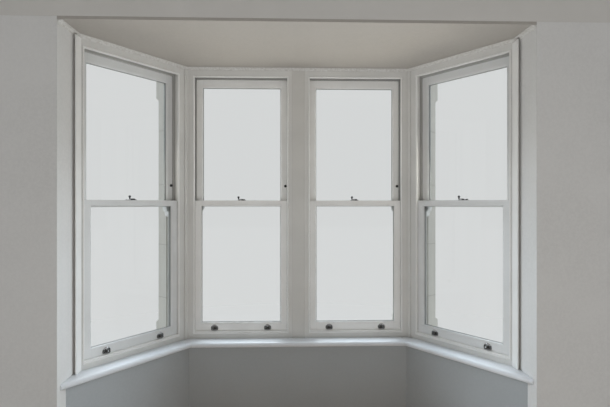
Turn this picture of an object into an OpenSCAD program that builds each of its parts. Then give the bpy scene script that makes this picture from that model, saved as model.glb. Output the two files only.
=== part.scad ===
// Canted bay window: a storey-high bay of four vertical sliding sashes on a low wall,
// with stone piers outside, joiner's linings and a window board inside, and a hipped roof.
// +Y faces the street, the room lies at -Y, and the ground is at z = 0.

/* [Bay plan] */
// Angle that each side face turns back from the front
side_angle = 52; // [44:1:58]
// Clear width between the pulley stiles of every window
opening_w = 684; // [560:2:760]
// Width between the pulley stiles of the two front windows
mullion_w = 140; // [124:2:180]
// Front window's pulley stile to the corner of the bay
corner_front = 50; // [44:1:80]
// Side window's pulley stile to the corner of the bay
corner_side = 66; // [56:1:90]
// Depth of the reveal from the end post's back edge to the room
reveal_depth = 227; // [220:1:400]
// Stretch of house wall kept at each side of the bay
nib_w = 420; // [320:5:700]
// Thickness of the house wall with its plaster
house_wall_t = 360; // [320:5:400]

/* [Heights] */
// Floor above the ground
floor_h = 180; // [150:5:300]
// Window board above the floor
board_h = 650; // [500:5:800]
// Top of the timber cill above the window board
cill_up = 30; // [24:1:50]
// Clear height between the cill and the pulley head
opening_h = 1850; // [1500:5:2100]
// Height of the lower sash
lower_sash_h = 956; // [760:2:1040]
// Lining over the pulley head, up to the plaster cove
head_lining_h = 36; // [30:1:80]
// Height of the plaster cove under the ceiling
cove_h = 18; // [12:1:30]
// Width of the plaster cove on the ceiling
cove_w = 28; // [16:1:40]
// Stone head course
head_course_h = 208; // [170:2:260]
// Stone cornice
cornice_h = 120; // [90:2:160]
// House wall above the lead flashing
wall_over = 60; // [40:5:200]

/* [Walls] */
// Masonry of the low wall, from its sash line outward
apron_out = 222; // [200:2:226]
// Masonry of the low wall, from its sash line into the room
apron_in = 64; // [50:1:90]
// Plaster on the walls
plaster_t = 15; // [10:1:20]
// Ceiling board
ceiling_t = 16; // [12:1:25]
// Floor boards
boards_t = 22; // [18:1:28]
// How far the plinth stands out
plinth_out = 25; // [15:1:40]
// Height of the plinth
plinth_h = 230; // [150:5:300]
// Height of the stone sill
sill_h = 100; // [80:2:140]
// How far the stone sill stands out from the piers
sill_out = 45; // [30:1:60]

/* [Stone piers] */
// Outer face of the piers, from the sash line
pier_out = 230; // [228:1:260]
// How far a pier covers the box frame beside it
pier_lap = 21; // [15:1:30]
// Width of the stopped chamfers
chamfer = 28; // [15:1:36]
// Stop left square at the foot and head of each chamfer
chamfer_stop = 130; // [80:5:250]

/* [Box frames] */
// Inner lining, in front of the sash line
lining_t = 12; // [10:1:18]
// Outer lining
outer_lining_t = 15; // [12:1:20]
// Parting bead
parting_t = 8; // [7:1:10]
// How far the beads and the outer lining cover a sash
bead_lap = 12; // [10:1:14]
// How far the staff bead stands out from the lining
bead_proud = 4; // [2:1:6]
// Height of the deeper bead along the cill
cill_bead_h = 22; // [18:1:30]
// Depth of the weight box at the end of the bay
box_w = 56; // [50:1:70]
// Height of the timber cill's body
cill_h = 60; // [50:1:80]

/* [Sashes] */
// Thickness of a sash
sash_t = 44; // [38:1:48]
// Stile width
stile_w = 60; // [50:1:70]
// Bottom rail
bottom_rail = 83; // [75:1:100]
// Meeting rails
meeting_rail = 43; // [35:1:50]
// Top rail
top_rail = 74; // [60:1:85]
// Gap beside each sash
side_gap = 2; // [1:0.5:2.5]
// Running gap on each face of a sash
face_gap = 0.5; // [0.3:0.1:0.8]
// Ovolo moulding, width and depth
ovolo = 12; // [9:1:13]
// Depth from the sash's inner face to the glass
glass_in = 14; // [13:1:20]
// Glass thickness
glass_t = 4; // [3:0.5:6]
// Length of the sash horns
horn_len = 72; // [50:1:90]

/* [Sash fittings] */
// Spread of the two sash lifts on a bottom rail
lift_spread = 380; // [300:5:440]
// Width of a sash lift
lift_w = 45; // [38:1:60]
// Height of a sash lift
lift_tall = 34; // [28:1:40]
// How far a sash lift stands out
lift_reach = 18; // [14:1:24]
// Length of a fastener's base
fastener_l = 54; // [44:1:70]
// Width of a fastener's base
fastener_w = 22; // [18:1:28]
// Height of a fastener with its knob
fastener_h = 31; // [24:1:45]
// Sash stop above the meeting rail
stop_up = 106; // [60:2:200]
// Sash stop's diameter
stop_d = 13; // [10:1:20]

/* [Inner joinery] */
// Window board thickness
board_t = 34; // [25:1:40]
// How far the nosing stands out from the plaster
nosing = 46; // [25:1:70]
// Length cut off the pointed ends of the window board
board_end_cut = 12; // [5:1:25]
// Mullion cover width
mullion_cover_w = 94; // [80:1:110]
// Cover strip thickness
cover_t = 6; // [4:1:10]
// Corner cover on the front face
corner_cover_front = 14; // [10:1:20]
// Corner cover on the side face
corner_cover_side = 20; // [14:1:26]
// End post depth towards the room
end_post_d = 62; // [45:1:90]
// End post thickness
end_post_t = 20; // [15:1:30]
// Lip of the end post beside its groove
end_lip = 6; // [4:1:10]
// Timber left behind the groove of the end post
end_web = 8; // [5:1:14]
// Side window's pulley stile to the end post
end_margin = 6; // [4:1:20]
// Skirting height
skirting_h = 120; // [90:5:140]
// Skirting thickness
skirting_t = 18; // [15:1:25]

/* [Roof] */
// Roof pitch
roof_pitch = 30; // [22:1:33]
// Thickness of the roof boards with their slates
roof_t = 40; // [30:1:60]
// How far the cornice stands out from the piers
cornice_out = 100; // [70:2:130]
// Radius of the lead rolls on the hips
hip_r = 26; // [18:1:34]
// Height of the lead flashing on the wall
flashing_h = 110; // [80:5:140]

/* [Hidden] */
$fn = 48;

// Small fixed sizes
lintel_under = 5;
drip_w = 12;
drip_h = 6;
drip_in = 23;
sill_arris = 6;
cill_nose = 22;
cill_fall = 26;
rebate = 9;
glass_cover = 8;
quirk = 2;
tongue_gap = 2;
cover_arris = 1.5;
skirting_arris = 8;
skirting_cove = 12;
cove_lip = 3;
roof_in = 14;
flashing_t = 6;
lead_gap = 0.3;
lift_plate = 3;
lift_shoulder = 16;
fastener_plate = 3;
pin_r = 2.5;
knob_r = 6.5;
stop_l = 12;

// Directions and the corner of the bay
sa = sin(side_angle);
ca = cos(side_angle);
mitre_slope = tan(side_angle / 2);
corner_x = mullion_w / 2 + opening_w + corner_front;
far = 4000;

// Levels
board_top = floor_h + board_h;
board_under = board_top - board_t;
cill_top = board_top + cill_up;
frame_foot = cill_top - cill_h;
head_z = cill_top + opening_h;
cove_foot = head_z + head_lining_h;
ceiling_z = cove_foot + cove_h;
frame_top = ceiling_z + ceiling_t;
lintel_z = head_z - bead_lap - lintel_under;
course_top = lintel_z + head_course_h;
eaves_z = course_top + cornice_h;
meeting_z = cill_top + lower_sash_h - meeting_rail;

// Depths from the sash line, outward positive
parting_y = sash_t + 2 * face_gap;
upper_y = parting_y + parting_t;
track_out = upper_y + parting_y;
frame_out = track_out + outer_lining_t;
plaster_in = apron_in + plaster_t;
board_in = plaster_in + nosing;
cover_in = lining_t + cover_t;
cornice_y = pier_out + cornice_out;
sill_y = pier_out + sill_out;

// Where the side faces end
frame_end = corner_side + opening_w + box_w;
post_s = corner_side + opening_w + end_margin;
post_x = corner_x + ca * post_s - sa * lining_t;
reveal_x = post_x + end_post_t;
jamb_x = reveal_x + plaster_t;
post_y = -sa * post_s - ca * lining_t;
post_front = post_y - end_post_d;
room_y = post_y - reveal_depth;
house_in = room_y + plaster_t;
house_out = room_y + house_wall_t;
nib_x = reveal_x + nib_w;
y_origin = (room_y + cornice_y) / 2;

// Roof surface over a given offset, and the wall it leans on
roof_rise = tan(roof_pitch);
roof_edge = cornice_y - roof_in;
roof_drop = roof_t / cos(roof_pitch);
function roof_z(o) = eaves_z + roof_drop + (roof_edge - o) * roof_rise;
wall_top = roof_z(house_out) + flashing_h + wall_over;

// A point on the right side face: s along it from the corner, o outward
function side_pt(s, o) = [corner_x + ca * s + sa * o, -sa * s + ca * o];
function mitre_pt(o) = [corner_x + mitre_slope * o, o];
function flip(p) = [-p[0], p[1]];
function flipped(path) = [for (i = [len(path) - 1:-1:0]) flip(path[i])];
function backward(path) = [for (i = [len(path) - 1:-1:0]) path[i]];
// How far along the side face an offset line crosses a given x or y
function s_at_x(x, o) = (x - corner_x - sa * o) / ca;
function s_at_y(y, o) = (ca * o - y) / sa;
run = s_at_x(jamb_x, -board_in) + 5;
function arc(cx, cy, r, a0, a1, n) = [
    for (i = [0:n]) let(a = a0 + (a1 - a0) * i / n) [cx + r * cos(a), cy + r * sin(a)]
];

// Everything is drawn about the sash line and then moved to the middle of the footprint
module placed() {
    translate([0, -y_origin, 0]) children();
}

module both_sides(side) {
    mirror([side < 0 ? 1 : 0, 0, 0]) children();
}

module prism(points, z0, z1) {
    translate([0, 0, z0]) linear_extrude(z1 - z0) polygon(points);
}

// Zones that divide the three faces at their mitres
module front_zone() {
    edge = [mitre_pt(far / 4), mitre_pt(-far / 4)];
    prism(concat(edge, flipped(edge)), -10, far);
}

module right_zone() {
    edge = [mitre_pt(-far / 4), mitre_pt(far / 4)];
    prism(concat(edge, [[far, far / 4], [far, -far / 2], [corner_x, -far / 2]]), -10, far);
}

// A band of even thickness round the three faces
module band(o_in, o_out, z0, z1) {
    outer = [mitre_pt(o_out), side_pt(run, o_out)];
    inner = [mitre_pt(o_in), side_pt(run, o_in)];
    prism(concat(flipped(outer), outer, backward(inner), flipped(backward(inner))), z0, z1);
}

// A moulded section, drawn as [outward, height], run along the front or a side
module front_run(section) {
    intersection() {
        translate([-run, 0, 0]) rotate([90, 0, 90]) linear_extrude(2 * run) polygon(section);
        front_zone();
    }
}

module right_run(section) {
    intersection() {
        translate([corner_x, 0, 0]) rotate([0, 0, -side_angle]) translate([-run, 0, 0])
            rotate([90, 0, 90]) linear_extrude(2 * run) polygon(section);
        right_zone();
    }
}

module moulded_band(section) {
    union() {
        front_run(section);
        for (side = [-1, 1]) both_sides(side) right_run(section);
    }
}

// Windows, numbered from the left as seen from the room
window_x = [
    -(corner_x + ca * (corner_side + opening_w / 2)), -(mullion_w + opening_w) / 2,
    (mullion_w + opening_w) / 2, corner_x + ca * (corner_side + opening_w / 2)
];
window_y = [-sa * (corner_side + opening_w / 2), 0, 0, -sa * (corner_side + opening_w / 2)];
window_turn = [side_angle, 0, 0, -side_angle];
SIDE_LEFT = 0;
FRONT_LEFT = 1;
FRONT_RIGHT = 2;
SIDE_RIGHT = 3;

module at_window(i) {
    translate([window_x[i], window_y[i], 0]) rotate([0, 0, window_turn[i]]) children();
}

// The house wall beside the bay, cut back to the end of the side window's frame
module wall_pier() {
    outer_s = s_at_y(house_out, pier_out);
    frame_back = [frame_end, (jamb_x - corner_x - ca * frame_end) / sa];
    color("gainsboro") prism([
        [jamb_x, house_in], [nib_x, house_in], [nib_x, house_out], side_pt(outer_s, pier_out),
        side_pt(frame_end, frame_out), side_pt(frame_back[0], frame_back[1])
    ], 0, frame_top);
}

module wall_pier_left() { placed() both_sides(-1) wall_pier(); }
module wall_pier_right() { placed() both_sides(1) wall_pier(); }

// The wall over the opening rests on both piers
module header_block() {
    prism([[-nib_x, room_y], [nib_x, room_y], [nib_x, house_out], [-nib_x, house_out]], frame_top, wall_top);
}

module header_wall() {
    color("gainsboro") placed() header_block();
}

module house_wall() {
    for (side = [-1, 1]) both_sides(side) wall_pier();
    header_block();
}

// Low wall under the windows, with a thinner upstand behind the stone sill
module apron_body() {
    section = [
        [-apron_in, 0], [apron_out, 0], [apron_out, frame_foot - sill_h],
        [-lining_t, frame_foot - sill_h], [-lining_t, board_under], [-apron_in, board_under]
    ];
    moulded_band(section);
}

module apron_wall_front() {
    color("whitesmoke") placed() intersection() {
        apron_body();
        front_zone();
    }
}

module apron_wall_side(side) {
    color("whitesmoke") placed() both_sides(side) difference() {
        intersection() {
            apron_body();
            right_zone();
        }
        wall_pier();
    }
}

module apron_wall_left() { apron_wall_side(-1); }
module apron_wall_right() { apron_wall_side(1); }

module plinth() {
    out = apron_out + plinth_out;
    color("whitesmoke") placed() difference() {
        moulded_band([[apron_out, 0], [out, 0], [out, plinth_h], [apron_out, plinth_h + plinth_out]]);
        house_wall();
    }
}

// Plan of each pier, from the frame out to its face
function centre_plan() = [
    [-mullion_w / 2 - pier_lap, frame_out], [-mullion_w / 2 - pier_lap, pier_out],
    [mullion_w / 2 + pier_lap, pier_out], [mullion_w / 2 + pier_lap, frame_out]
];
function corner_plan() = [
    [corner_x - corner_front - pier_lap, frame_out], [corner_x - corner_front - pier_lap, pier_out],
    mitre_pt(pier_out), side_pt(corner_side + pier_lap, pier_out),
    side_pt(corner_side + pier_lap, frame_out), mitre_pt(frame_out)
];
end_pier_s = corner_side + opening_w - pier_lap;
function end_plan() = [
    side_pt(end_pier_s, frame_out), side_pt(end_pier_s, pier_out),
    side_pt(s_at_y(house_out, pier_out), pier_out), side_pt(frame_end, frame_out)
];

// Stone sill: weathered top with a drip, and level stools under the piers
module stone_sill() {
    under = frame_foot - sill_h;
    nose_top = frame_foot - sill_h / 4;
    drip = sill_y - drip_in;
    section = [
        [-lining_t, under], [drip - drip_w, under], [drip - drip_w * 0.75, under + drip_h],
        [drip - drip_w / 4, under + drip_h], [drip, under],
        [sill_y, under], [sill_y, nose_top - sill_arris], [sill_y - sill_arris, nose_top],
        [frame_out + sill_arris, frame_foot], [-lining_t, frame_foot]
    ];
    color("whitesmoke") placed() difference() {
        union() {
            moulded_band(section);
            prism(centre_plan(), under + drip_w, frame_foot);
            for (side = [-1, 1]) both_sides(side) {
                prism(corner_plan(), under + drip_w, frame_foot);
                prism(end_plan(), under + drip_w, frame_foot);
            }
        }
        house_wall();
    }
}

// A chamfer down an arris, stopped with a slope at its foot and head
module arris_cut(turn) {
    half = chamfer * sqrt(2) / 2;
    foot = frame_foot + chamfer_stop;
    head = lintel_z - chamfer_stop;
    rotate([0, 0, turn]) rotate([90, 0, 90]) translate([0, 0, -2 * chamfer]) linear_extrude(4 * chamfer)
        polygon([[-half, foot + half], [half, foot - half], [3 * half, foot - half], [3 * half, head + half],
            [half, head + half], [-half, head - half]]);
}

module centre_pier() {
    half = mullion_w / 2 + pier_lap;
    color("whitesmoke") placed() difference() {
        prism(centre_plan(), frame_foot, lintel_z);
        for (side = [-1, 1]) translate([side * half, pier_out, 0]) arris_cut(-side * 45);
    }
}

module corner_pier(side) {
    at_front = [corner_x - corner_front - pier_lap, pier_out];
    at_side = side_pt(corner_side + pier_lap, pier_out);
    color("whitesmoke") placed() both_sides(side) difference() {
        prism(corner_plan(), frame_foot, lintel_z);
        translate([at_front[0], at_front[1], 0]) arris_cut(45);
        translate([at_side[0], at_side[1], 0]) arris_cut(-45 - side_angle);
    }
}

module corner_pier_left() { corner_pier(-1); }
module corner_pier_right() { corner_pier(1); }

module end_pier(side) {
    at_side = side_pt(end_pier_s, pier_out);
    color("whitesmoke") placed() both_sides(side) difference() {
        prism(end_plan(), frame_foot, lintel_z);
        translate([at_side[0], at_side[1], 0]) arris_cut(45 - side_angle);
    }
}

module end_pier_left() { end_pier(-1); }
module end_pier_right() { end_pier(1); }

// Stone head over the piers, backed over the frames up to the ceiling board
module head_course() {
    color("whitesmoke") placed() difference() {
        union() {
            band(frame_out, pier_out, lintel_z, course_top);
            band(-apron_in, frame_out, frame_top, course_top);
        }
        house_wall();
    }
}

// Cornice section: fascia, cyma, corona and a weathered top
fillet = cornice_h / 20;
cove_r = cornice_out / 3;
cove_z = course_top + cornice_h / 8;
corona_r = cornice_h / 6;
function cornice_section() = concat(
    [[frame_out, course_top], [pier_out + fillet, course_top]],
    arc(pier_out + fillet + cove_r, cove_z, cove_r, 180, 90, 8),
    [[cornice_y - corona_r, cove_z + cove_r + fillet / 2]],
    arc(cornice_y - corona_r, eaves_z - fillet * 2 - corona_r, corona_r, 270, 360, 6),
    [[cornice_y, eaves_z - fillet * 2], [cornice_y - fillet * 2, eaves_z], [frame_out, eaves_z]]
);

module cornice() {
    color("whitesmoke") placed() difference() {
        moulded_band(cornice_section());
        house_wall();
    }
}

// Box frame: weight boxes, head, cill, linings and parting bead as one fixed piece
module frame_body(reach_left, reach_right) {
    half = opening_w / 2;
    out_half = half - bead_lap;
    nose = frame_out + cill_nose;
    difference() {
        union() {
            translate([-half - reach_left, -lining_t, frame_foot])
                cube([opening_w + reach_left + reach_right, frame_out + lining_t, frame_top - frame_foot]);
            translate([-half + pier_lap, frame_out, frame_foot])
                cube([opening_w - 2 * pier_lap, cill_nose, cill_h - cill_nose]);
        }
        // the tracks, open to the room
        translate([-half, -lining_t - 1, cill_top]) cube([opening_w, track_out + lining_t + 1, opening_h]);
        // daylight past the outer linings
        translate([-out_half, 0, cill_top]) cube([2 * out_half, frame_out + 1, opening_h - bead_lap]);
        // the cill's weathering
        rotate([90, 0, 90]) translate([0, 0, -half]) linear_extrude(opening_w)
            polygon([[parting_y, cill_top + 1], [parting_y, cill_top], [nose + 1, cill_top - cill_fall],
                [nose + 1, cill_top + 1]]);
    }
    // parting bead on both pulley stiles and across the head
    difference() {
        translate([-half, parting_y, cill_top - cill_fall])
            cube([opening_w, parting_t, opening_h + cill_fall]);
        translate([-out_half, parting_y - 1, cill_top - cill_fall - 1])
            cube([2 * out_half, parting_t + 2, opening_h - bead_lap + cill_fall + 1]);
    }
}

module box_frame_front(side) {
    i = side < 0 ? FRONT_LEFT : FRONT_RIGHT;
    wide = 2 * corner_front + frame_out;
    color("white") placed() intersection() {
        at_window(i) frame_body(side < 0 ? wide : mullion_w / 2, side < 0 ? mullion_w / 2 : wide);
        front_zone();
    }
}

module box_frame_side(side) {
    wide = 2 * corner_side + frame_out;
    color("white") placed() both_sides(side) intersection() {
        at_window(SIDE_RIGHT) frame_body(wide, box_w);
        right_zone();
    }
}

module box_frame_front_left() { box_frame_front(-1); }
module box_frame_front_right() { box_frame_front(1); }
module box_frame_side_left() { box_frame_side(-1); }
module box_frame_side_right() { box_frame_side(1); }

// A section run round a w by h opening with mitred corners, centred on x, from z = 0 up.
// The section is drawn as [outward from the edge, depth].
module mitred_ring(w, h, section, grow) {
    for (k = [0:3]) {
        long = k % 2 == 0 ? w : h;
        translate([0, 0, h / 2]) rotate([0, 90 * k, 0]) translate([0, 0, -(k % 2 == 0 ? h : w) / 2])
            intersection() {
                translate([-long / 2 - grow, 0, 0]) rotate([90, 0, 90]) linear_extrude(long + 2 * grow)
                    polygon([for (p = section) [p[1], -p[0]]]);
                rotate([90, 0, 0]) translate([0, 0, -far / 2]) linear_extrude(far)
                    polygon([[-long / 2, 0], [long / 2, 0],
                        [long / 2 + grow, -grow], [-long / 2 - grow, -grow]]);
            }
    }
}

// What the ovolo takes off both arrises of a sight opening, drawn as [across, depth].
// Its upright and level runs meet in mitres, where one profile crosses the other.
function ovolo_profile(half) = concat(
    [[-half - ovolo, -1]],
    arc(-half - ovolo, ovolo, ovolo - quirk, 270, 360, 6),
    arc(half + ovolo, ovolo, ovolo - quirk, 180, 270, 6),
    [[half + ovolo, -1]]
);

// Stiles and rails about one pane, with the putty rebate outside.
// The ovolo runs all round, or stops on a plain lower rail.
module sash_body(h, rail_low, rail_high, plain_low) {
    w = opening_w - 2 * side_gap;
    sight_w = w - 2 * stile_w;
    sight_h = h - rail_low - rail_high;
    mould_low = plain_low ? rail_low : 0;
    difference() {
        translate([-w / 2, 0, 0]) cube([w, sash_t, h]);
        translate([-sight_w / 2, -1, rail_low]) cube([sight_w, sash_t + 2, sight_h]);
        translate([-sight_w / 2 - rebate, glass_in, rail_low - rebate])
            cube([sight_w + 2 * rebate, sash_t, sight_h + 2 * rebate]);
        intersection() {
            translate([0, 0, mould_low]) linear_extrude(h - mould_low) polygon(ovolo_profile(sight_w / 2));
            translate([-w / 2, 0, rail_low + sight_h / 2]) rotate([0, 90, 0]) linear_extrude(w)
                polygon(ovolo_profile(sight_h / 2));
        }
    }
}

module lower_sash(i) {
    tongue_half = opening_w / 2 - bead_lap - tongue_gap;
    color("white") placed() at_window(i) translate([0, face_gap, cill_top]) union() {
        sash_body(lower_sash_h, bottom_rail, meeting_rail, false);
        translate([-tongue_half, sash_t - 1, lower_sash_h - meeting_rail])
            cube([2 * tongue_half, 1 + face_gap + parting_t / 2, meeting_rail]);
    }
}

// The horn is the stile run on below the meeting rail and cut to an ogee
module horn() {
    r = horn_len * 0.3;
    rotate([90, 0, 0]) translate([0, 0, -sash_t]) linear_extrude(sash_t) polygon(concat(
        [[0, 1], [0, -horn_len], [stile_w * 0.35, -horn_len]],
        arc(stile_w * 0.35, -horn_len + r, r, 270, 360, 8),
        arc(stile_w * 0.35 + 2 * r, -horn_len + r, r, 180, 118, 8),
        [[stile_w, -horn_len * 0.18], [stile_w, 1]]
    ));
}

module upper_sash(i) {
    h = head_z - meeting_z;
    tongue_half = opening_w / 2 - bead_lap - tongue_gap;
    half = opening_w / 2 - side_gap;
    color("white") placed() at_window(i) translate([0, upper_y + face_gap, meeting_z]) union() {
        sash_body(h, meeting_rail, top_rail, true);
        translate([-tongue_half, -face_gap - parting_t / 2, 0])
            cube([2 * tongue_half, 1 + face_gap + parting_t / 2, meeting_rail]);
        translate([-half, 0, 0]) horn();
        mirror([1, 0, 0]) translate([-half, 0, 0]) horn();
    }
}

module lower_sash_side_left() { lower_sash(SIDE_LEFT); }
module lower_sash_front_left() { lower_sash(FRONT_LEFT); }
module lower_sash_front_right() { lower_sash(FRONT_RIGHT); }
module lower_sash_side_right() { lower_sash(SIDE_RIGHT); }
module upper_sash_side_left() { upper_sash(SIDE_LEFT); }
module upper_sash_front_left() { upper_sash(FRONT_LEFT); }
module upper_sash_front_right() { upper_sash(FRONT_RIGHT); }
module upper_sash_side_right() { upper_sash(SIDE_RIGHT); }

// One pane in each sash, held in the rebate
module pane(h, rail_low, rail_high) {
    w = opening_w - 2 * side_gap - 2 * stile_w + 2 * glass_cover;
    translate([-w / 2, glass_in, rail_low - glass_cover])
        cube([w, glass_t, h - rail_low - rail_high + 2 * glass_cover]);
}

module window_glass() {
    color("lightblue", 0.35) placed() for (i = [0:3]) at_window(i) {
        translate([0, face_gap, cill_top]) pane(lower_sash_h, bottom_rail, meeting_rail);
        translate([0, upper_y + face_gap, meeting_z]) pane(head_z - meeting_z, meeting_rail, top_rail);
    }
}

// Rounded bead that holds the lower sash, deeper along the cill
module staff_bead() {
    deep = lining_t + bead_proud;
    r = bead_lap / 2;
    section = concat([[0, 0], [0, r - deep]], arc(r, r - deep, r, 180, 360, 8), [[bead_lap, 0]]);
    w = opening_w - 2 * bead_lap;
    h = opening_h - bead_lap - bead_lap;
    translate([0, 0, cill_top + bead_lap]) mitred_ring(w, h, section, bead_lap);
}

module cill_bead() {
    half = opening_w / 2 - bead_lap;
    r = 5;
    tall = cill_bead_h - bead_lap;
    translate([-half, 0, cill_top + bead_lap]) rotate([90, 0, 90]) linear_extrude(2 * half)
        polygon(concat([[0, 0], [0, tall]], arc(r - lining_t, tall - r, r, 90, 180, 6), [[-lining_t, 0]]));
}

module staff_beads() {
    color("white") placed() for (i = [0:3]) at_window(i) union() {
        staff_bead();
        cill_bead();
    }
}

// Hook lift: an arched plate screwed to the rail with a curled finger grip
module sash_lift() {
    low = -lift_tall / 4;
    bite = lift_plate / 6;
    hook = concat(
        arc(bite - lift_plate, low, lift_reach, 90, 180, 8),
        arc(bite - lift_plate, low, lift_reach - lift_plate, 180, 90, 8)
    );
    shoulder_x = lift_w / 2 - lift_shoulder;
    shoulder_z = lift_tall / 2 - lift_shoulder;
    rotate([90, 0, 0]) linear_extrude(lift_plate) polygon(concat(
        [[-lift_w / 2, -lift_tall / 2], [lift_w / 2, -lift_tall / 2]],
        arc(shoulder_x, shoulder_z, lift_shoulder, 0, 90, 6),
        arc(-shoulder_x, shoulder_z, lift_shoulder, 90, 180, 6)
    ));
    translate([-lift_w / 3, 0, 0]) rotate([90, 0, 90]) linear_extrude(lift_w * 2 / 3) polygon(hook);
}

module sash_lifts() {
    lift_z = cill_top + cill_bead_h + lift_tall / 2;
    color("silver") placed() for (i = [0:3]) at_window(i)
        for (side = [-1, 1]) translate([side * lift_spread / 2, face_gap, lift_z]) sash_lift();
}

// Fastener: a base and a cam with its upright knob on the lower rail, a keep on the upper
module sash_fastener() {
    rail_top = meeting_z + meeting_rail;
    boss_h = fastener_h / 3;
    boss_r = fastener_w * 0.4;
    arm_t = fastener_plate + 1;
    pin_x = pin_r + knob_r / 2 - fastener_l / 2;
    translate([0, face_gap + sash_t / 2, rail_top]) {
        translate([-fastener_l / 2, -fastener_w / 2, 0]) cube([fastener_l, fastener_w, fastener_plate]);
        translate([fastener_l / 6, 0, 0]) cylinder(h = boss_h, r = boss_r);
        translate([pin_x, -arm_t, boss_h - arm_t]) cube([fastener_l / 6 - pin_x, 2 * arm_t, arm_t]);
        translate([pin_x, 0, boss_h - arm_t]) cylinder(h = fastener_h - knob_r - boss_h + arm_t, r = pin_r);
        translate([pin_x, 0, fastener_h - knob_r]) sphere(r = knob_r);
    }
    translate([0, upper_y, rail_top]) {
        translate([-fastener_l / 2, 0, 0]) cube([fastener_l, glass_in - 1, fastener_plate]);
        translate([fastener_l / 9, 0, fastener_plate])
            cube([fastener_l / 4, glass_in / 2, boss_h - fastener_plate]);
    }
}

module sash_fasteners() {
    color("silver") placed() for (i = [0:3]) at_window(i) sash_fastener();
}

module sash_stops() {
    x = opening_w / 2 - bead_lap - stop_d;
    color("black") placed() for (i = [0:3]) at_window(i)
        translate([x, upper_y + face_gap, meeting_z + meeting_rail + stop_up]) rotate([90, 0, 0])
            cylinder(h = stop_l, r = stop_d / 2);
}

// Covers over the joints of the linings
module mullion_cover() {
    half = mullion_cover_w / 2;
    color("white") placed() prism([
        [-half, -lining_t], [-half, cover_arris - cover_in], [cover_arris - half, -cover_in],
        [half - cover_arris, -cover_in], [half, cover_arris - cover_in], [half, -lining_t]
    ], board_top, cove_foot);
}

module corner_covers() {
    inner = mitre_pt(-lining_t);
    face = mitre_pt(-cover_in);
    back_s = mitre_slope * lining_t;
    color("white") placed() for (side = [-1, 1]) both_sides(side) prism([
        [inner[0] - corner_cover_front, -lining_t], inner, side_pt(back_s + corner_cover_side, -lining_t),
        side_pt(back_s + corner_cover_side, -cover_in), face,
        [inner[0] - corner_cover_front, -cover_in]
    ], board_top, cove_foot);
}

// The end posts keep clear of the reveals in a deep groove, which runs up to the ceiling
reveal_meets = side_pt(s_at_x(reveal_x, -lining_t), -lining_t);
groove_y = reveal_meets[1] - end_web;

module end_posts() {
    color("white") placed() for (side = [-1, 1]) both_sides(side) prism([
        side_pt(post_s, -lining_t), reveal_meets, [reveal_x, groove_y], [post_x + end_lip, groove_y],
        [post_x + end_lip, post_front], [post_x, post_front]
    ], board_top, cove_foot);
}

module end_groove() {
    translate([post_x + end_lip, post_front, cove_foot - 1])
        cube([end_post_t - end_lip, groove_y - post_front, cove_h + 1]);
}

// Window board with a bullnose, mitred at the corners and cut to the reveals
module window_board() {
    r = board_t / 2;
    board_end = side_pt(s_at_x(reveal_x, -board_in), -board_in)[1] + board_end_cut;
    section = concat(
        [[-lining_t, board_under], [-lining_t, board_top]],
        arc(r - board_in, board_under + r, r, 90, 270, 12)
    );
    color("white") placed() intersection() {
        moulded_band(section);
        prism([
            [-reveal_x, board_end], [reveal_x, board_end], [reveal_x, far / 4], [-reveal_x, far / 4]
        ], 0, far);
    }
}

// Plaster on the reveal and on the room face of each pier
module wall_plaster(side) {
    frame_corner = side_pt(frame_end, -lining_t);
    meets = side_pt(frame_end, (jamb_x - corner_x - ca * frame_end) / sa);
    color("whitesmoke") placed() both_sides(side) difference() {
        prism([
            [reveal_x, room_y], [nib_x, room_y], [nib_x, house_in], [jamb_x, house_in],
            meets, frame_corner, side_pt(s_at_x(reveal_x, -lining_t), -lining_t)
        ], floor_h, frame_top);
        prism([
            mitre_pt(-plaster_in), side_pt(run, -plaster_in), side_pt(run, apron_out), mitre_pt(apron_out)
        ], 0, board_under);
    }
}

module wall_plaster_left() { wall_plaster(-1); }
module wall_plaster_right() { wall_plaster(1); }

module between_reveals(x) {
    prism([[-x, room_y], [x, room_y], [x, far / 4], [-x, far / 4]], -1, far);
}

module apron_plaster() {
    color("whitesmoke") placed() intersection() {
        band(-plaster_in, -apron_in, floor_h, board_under);
        between_reveals(jamb_x);
    }
}

// Skirting section, drawn from its back face: [towards the room, height]
function skirting_section(back) = [
    [back - skirting_t, floor_h], [back, floor_h], [back, floor_h + skirting_h],
    [back - skirting_t + skirting_arris, floor_h + skirting_h],
    [back - skirting_t, floor_h + skirting_h - skirting_cove]
];

module skirting() {
    color("white") placed() union() {
        intersection() {
            moulded_band(skirting_section(-plaster_in));
            between_reveals(reveal_x);
        }
        for (side = [-1, 1]) both_sides(side) difference() {
            rotate([90, 0, 0]) translate([0, 0, -house_out]) linear_extrude(house_out - room_y)
                polygon(skirting_section(reveal_x));
            prism([mitre_pt(-plaster_in), side_pt(run, -plaster_in), [far, far / 4], [0, far / 4]], 0, far);
        }
    }
}

// Cove section, drawn from its back face: [towards the room, height]
function cove_section(back) = concat(
    [[back, ceiling_z + 1], [back, cove_foot]],
    [for (a = [0:15:90]) [
        back - cove_w + (cove_w - cove_lip) * cos(a), cove_foot + (cove_h - cove_lip) * sin(a)
    ]],
    [[back - cove_w, ceiling_z + 1]]
);

// Ceiling board with a plaster cove along the linings and the reveals
module ceiling() {
    edge = [mitre_pt(-lining_t), reveal_meets, [reveal_x, room_y]];
    outline = concat(edge, flipped(edge));
    color("white") placed() difference() {
        union() {
            prism(outline, ceiling_z, frame_top);
            intersection() {
                union() {
                    moulded_band(cove_section(-lining_t));
                    for (side = [-1, 1]) both_sides(side)
                        rotate([90, 0, 0]) translate([0, 0, -house_out]) linear_extrude(house_out - room_y)
                            polygon(cove_section(reveal_x));
                }
                prism(outline, cove_foot - 1, frame_top);
            }
        }
        for (side = [-1, 1]) both_sides(side) end_groove();
    }
}

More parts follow.
